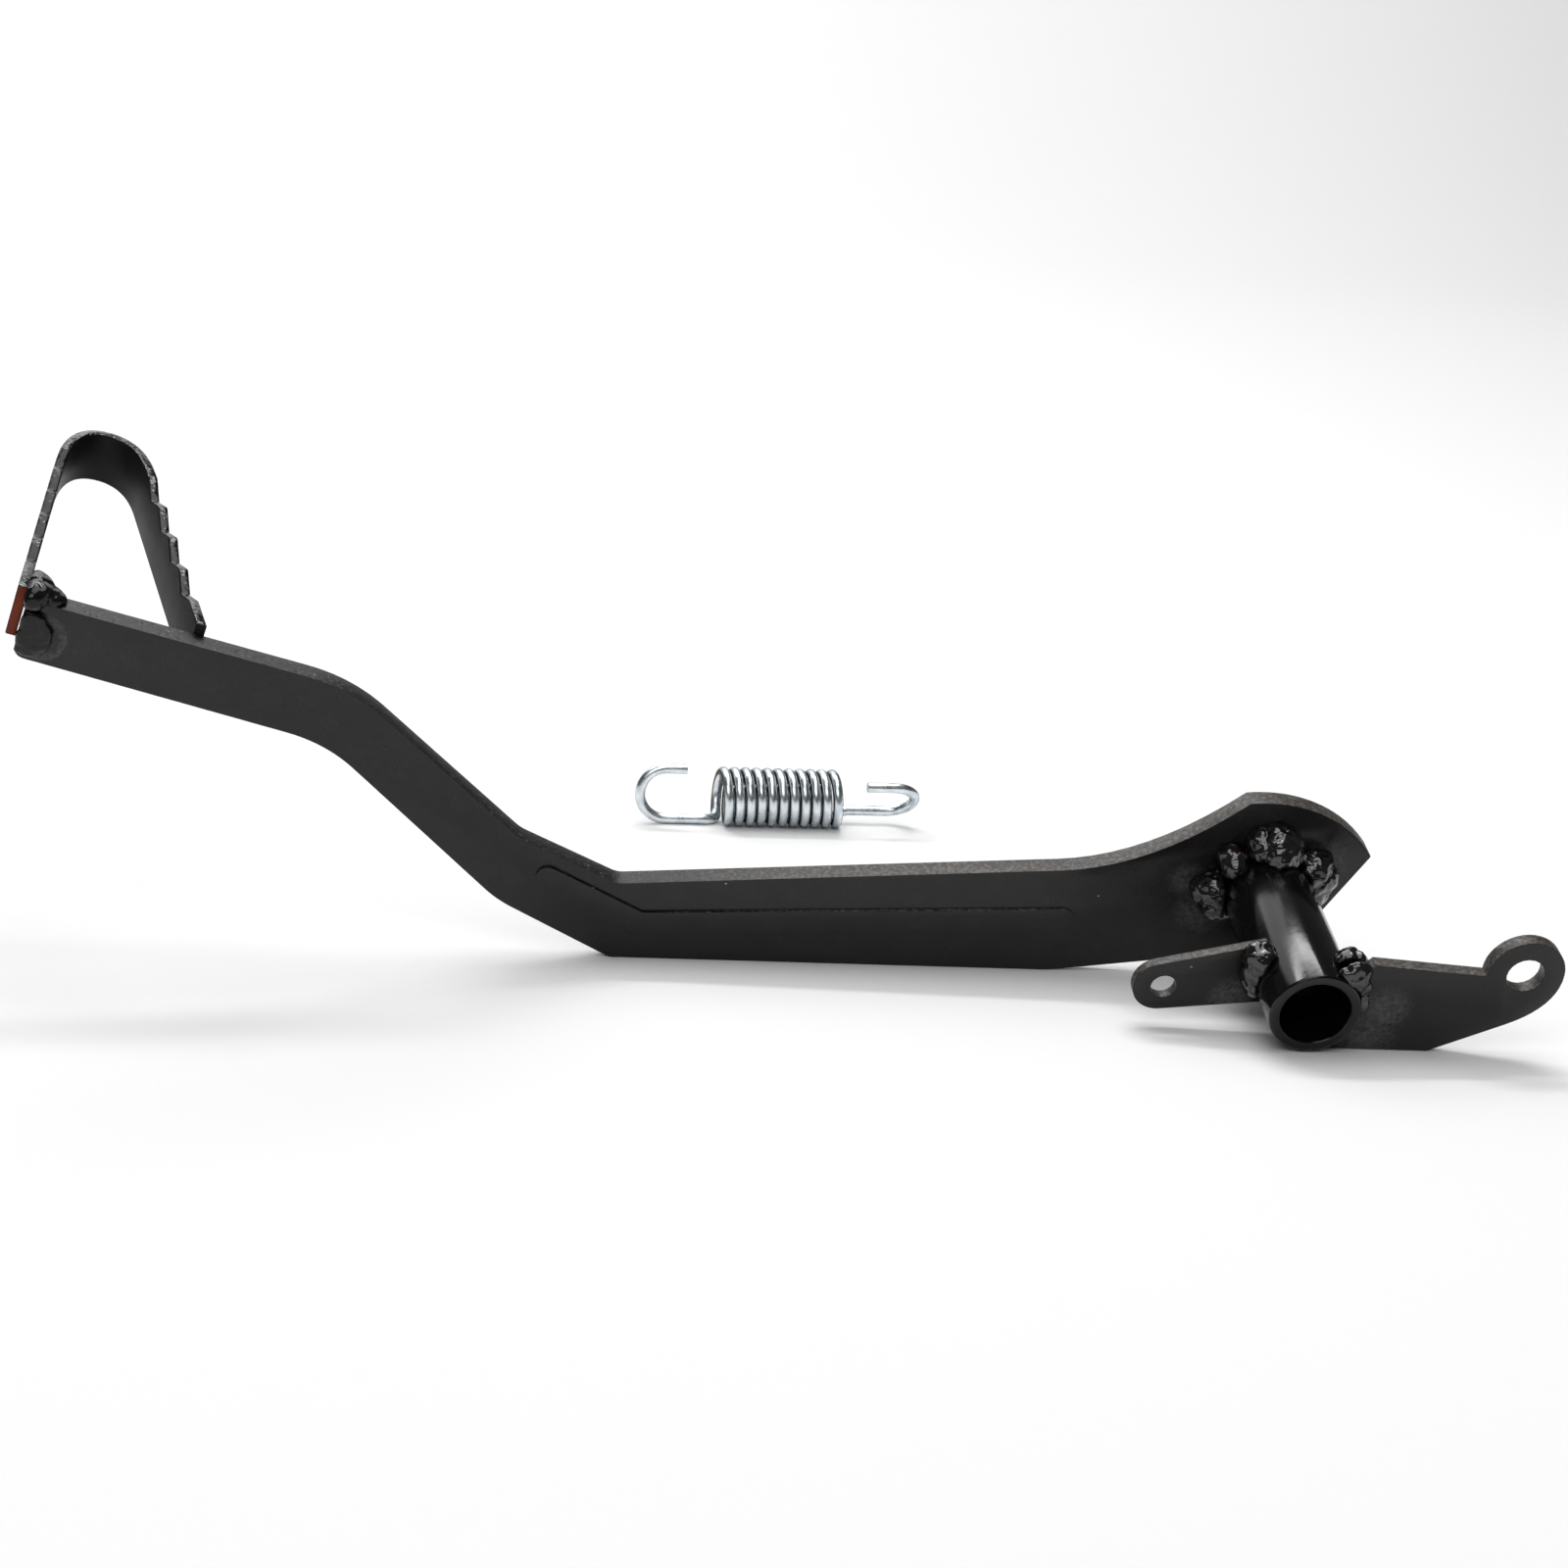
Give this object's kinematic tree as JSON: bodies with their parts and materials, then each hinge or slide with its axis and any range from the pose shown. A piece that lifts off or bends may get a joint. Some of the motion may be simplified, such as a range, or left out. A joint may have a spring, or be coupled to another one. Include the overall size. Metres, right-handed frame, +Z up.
{
  "type": "motorcycle foot brake pedal",
  "caption": "Cranked black steel foot brake pedal with a pivot tube, toothed tread loop, spring tab, brake rod arm and a loose hooked return spring.",
  "frame": {"origin": "middle of the footprint, on the surface that the pedal and its spring lie on", "axes": "+X along the bar from the tread to the rod arm, +Y from the tube's free end towards the spring, +Z up"},
  "size_m": [0.3504, 0.194, 0.1136],
  "materials": {
    "black_paint": "gloss",
    "zinc_wire": "bright"
  },
  "bodies": {
    "pedal": {"lever_bar": "black_paint", "pivot_tube": "black_paint", "spring_tab": "black_paint", "rod_arm": "black_paint", "tread_strip": "black_paint", "tube_weld_top": "black_paint", "tube_weld_upper_left": "black_paint", "tube_weld_left": "black_paint", "tube_weld_right": "black_paint", "tab_weld": "black_paint", "arm_weld": "black_paint", "arm_weld_rear": "black_paint", "tread_weld_gusset": "black_paint", "tread_weld_face": "black_paint", "tread_weld_far_leg": "black_paint"},
    "spring": {"spring_coil": "zinc_wire", "spring_fixed_hook": "zinc_wire"},
    "spring_moving_end": {"spring_moving_hook": "zinc_wire"}
  },
  "joints": [
    {"name": "spring_lift", "type": "slide", "parent": "pedal", "child": "spring", "axis": [0, 0, 1], "range_m": [0, 0.06]},
    {"name": "spring_stretch", "type": "slide", "parent": "spring", "child": "spring_moving_end", "axis": [0.999, 0.0454, 0], "range_m": [0, 0.015], "stiffness_N_per_m": 24000, "deforming": ["spring_coil"]}
  ]
}
